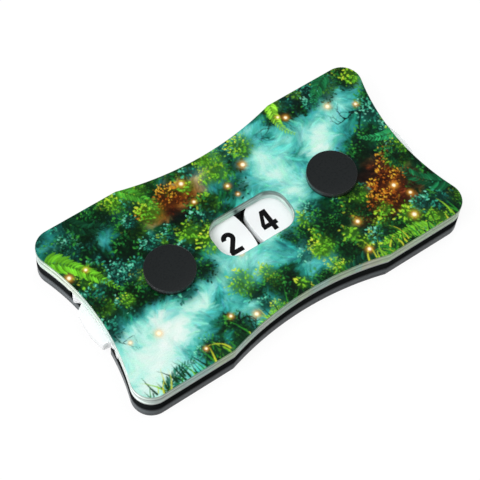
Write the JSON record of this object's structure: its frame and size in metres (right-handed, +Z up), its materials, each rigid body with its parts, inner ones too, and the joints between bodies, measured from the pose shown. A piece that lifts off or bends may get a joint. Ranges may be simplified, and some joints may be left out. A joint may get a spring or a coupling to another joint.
{
  "type": "life counter",
  "caption": "Flat handheld life counter: clear top plate with a window, thumb-notched number dials turning on hub rings between black spacers, and a grey bottom plate.",
  "frame": {"origin": "centre of the underside of the bottom plate", "axes": "+X along the length from the tens dial to the ones dial, +Y towards the tops of the numbers, +Z up out of the printed face"},
  "size_m": [0.0832, 0.0444, 0.0106],
  "materials": {
    "clear_acrylic": "clear sheet with a printed top face and laser-cut edges",
    "black_acrylic": "glossy black laser-cut sheet",
    "grey_acrylic": "glossy dark grey laser-cut sheet",
    "white_acrylic": "satin white sheet with black numbers",
    "black_nylon": "fine matte moulded black",
    "plated_steel": "plated countersunk screw"
  },
  "bodies": {
    "case": {"bottom_plate": "grey_acrylic", "front_spacer": "black_acrylic", "rear_spacer": "black_acrylic", "top_plate": "clear_acrylic", "tens_hub": "black_acrylic", "ones_hub": "black_acrylic", "tens_post": "black_nylon", "ones_post": "black_nylon", "tens_screw": "plated_steel", "ones_screw": "plated_steel"},
    "tens_wheel": {"tens_dial": "white_acrylic"},
    "ones_wheel": {"ones_dial": "white_acrylic"}
  },
  "joints": [
    {"name": "tens_turn", "type": "hinge", "parent": "case", "child": "tens_wheel", "pos_m": [-0.0208, 0, 0.0045], "axis": [0, 0, 1], "continuous": true},
    {"name": "ones_turn", "type": "hinge", "parent": "case", "child": "ones_wheel", "pos_m": [0.0208, 0, 0.0045], "axis": [0, 0, 1], "continuous": true}
  ]
}
